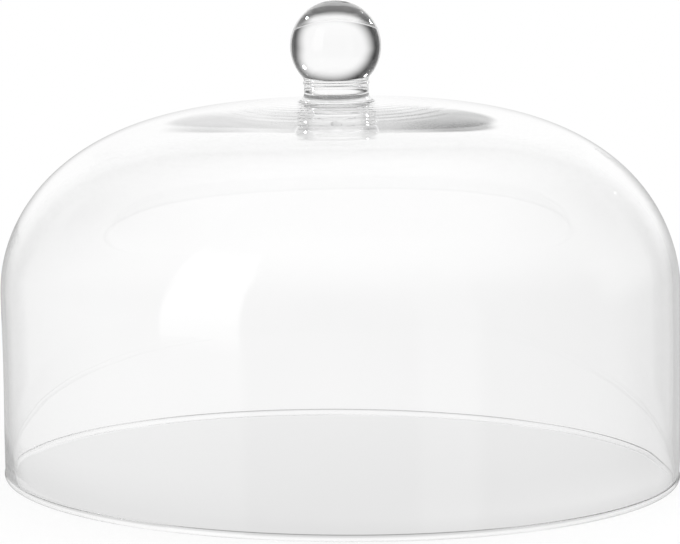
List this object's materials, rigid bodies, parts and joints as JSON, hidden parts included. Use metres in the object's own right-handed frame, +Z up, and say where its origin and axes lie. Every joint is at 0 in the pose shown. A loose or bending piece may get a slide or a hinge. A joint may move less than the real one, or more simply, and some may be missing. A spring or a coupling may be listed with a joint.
{
  "type": "glass cake dome",
  "caption": "Clear blown-glass cake dome: a straight-walled bell with a full shoulder and nearly flat crown, open underneath, with a solid ball knob on a short flared collar.",
  "frame": {"origin": "centre of the rim circle, in the plane of the table that the dome rests on", "axes": "+Z up along the dome's axis of revolution, towards the knob; X and Y are interchangeable"},
  "size_m": [0.3, 0.3, 0.2103],
  "materials": {
    "blown_glass": "clear, fire-polished",
    "solid_glass": "clear, fire-polished"
  },
  "bodies": {
    "root": {"dome_shell": "blown_glass", "knob_collar": "solid_glass", "knob_ball": "solid_glass"}
  },
  "joints": []
}
